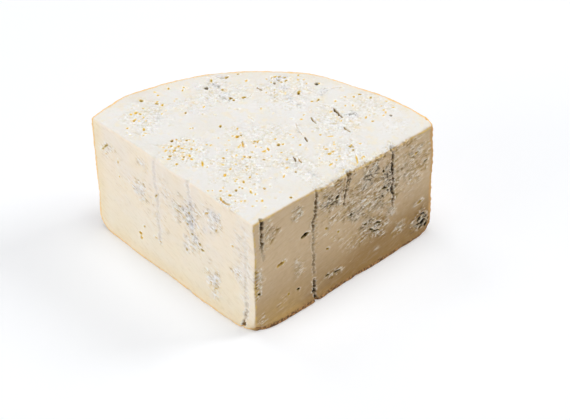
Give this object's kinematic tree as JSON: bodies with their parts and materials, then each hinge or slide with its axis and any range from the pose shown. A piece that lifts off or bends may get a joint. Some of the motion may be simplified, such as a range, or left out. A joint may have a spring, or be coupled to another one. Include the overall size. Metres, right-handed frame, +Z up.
{
  "type": "gorgonzola cheese wedge",
  "caption": "Wedge of blue-veined gorgonzola cut from a halved wheel, with an open cut top, straight cut faces, needle tracks and a thin rind, to stand on a counter or board.",
  "frame": {"origin": "under the middle of the piece's bounding box, in the plane of its flat underside", "axes": "+Y from the upright front edge, where the two cuts meet, to the rind; +X to the right of someone who looks at the front edge; +Z up"},
  "size_m": [0.2104, 0.1482, 0.0883],
  "materials": {
    "cheese_paste": "moist cut cheese paste, cream with blue-grey marbling, thin tan rind"
  },
  "bodies": {
    "root": {"gorgonzola_wedge": "cheese_paste"}
  },
  "joints": []
}
